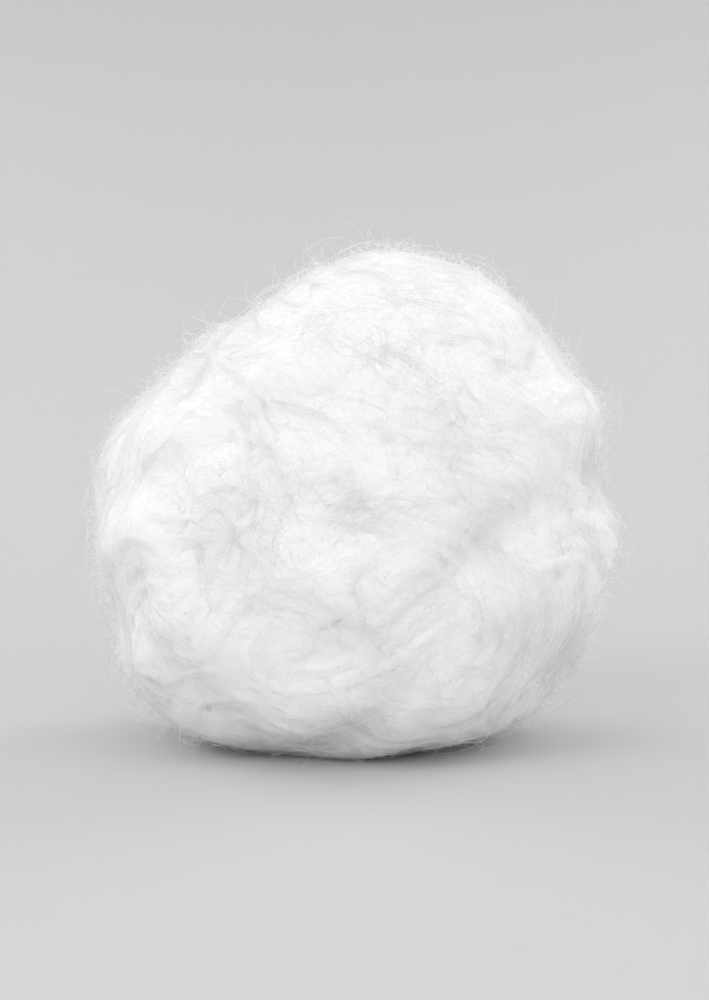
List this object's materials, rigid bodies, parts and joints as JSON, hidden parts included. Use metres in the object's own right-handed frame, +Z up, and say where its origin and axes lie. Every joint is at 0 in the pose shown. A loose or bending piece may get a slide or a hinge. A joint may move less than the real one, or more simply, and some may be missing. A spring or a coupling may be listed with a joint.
{
  "type": "cotton ball",
  "caption": "Soft, roughly round ball of loosely rolled bleached cotton wadding, pressed a little flat on a few sides, lying on a small flat spot.",
  "frame": {"origin": "middle of the ball's box from above, at the level of the flat spot that it lies on", "axes": "+Z up as the ball lies, -Y to the front, +X to the right and along the longest extent"},
  "size_m": [0.035, 0.034, 0.033],
  "materials": {
    "cotton": "loose matt bleached cotton wadding"
  },
  "bodies": {
    "root": {"cotton_ball": "cotton"}
  },
  "joints": []
}
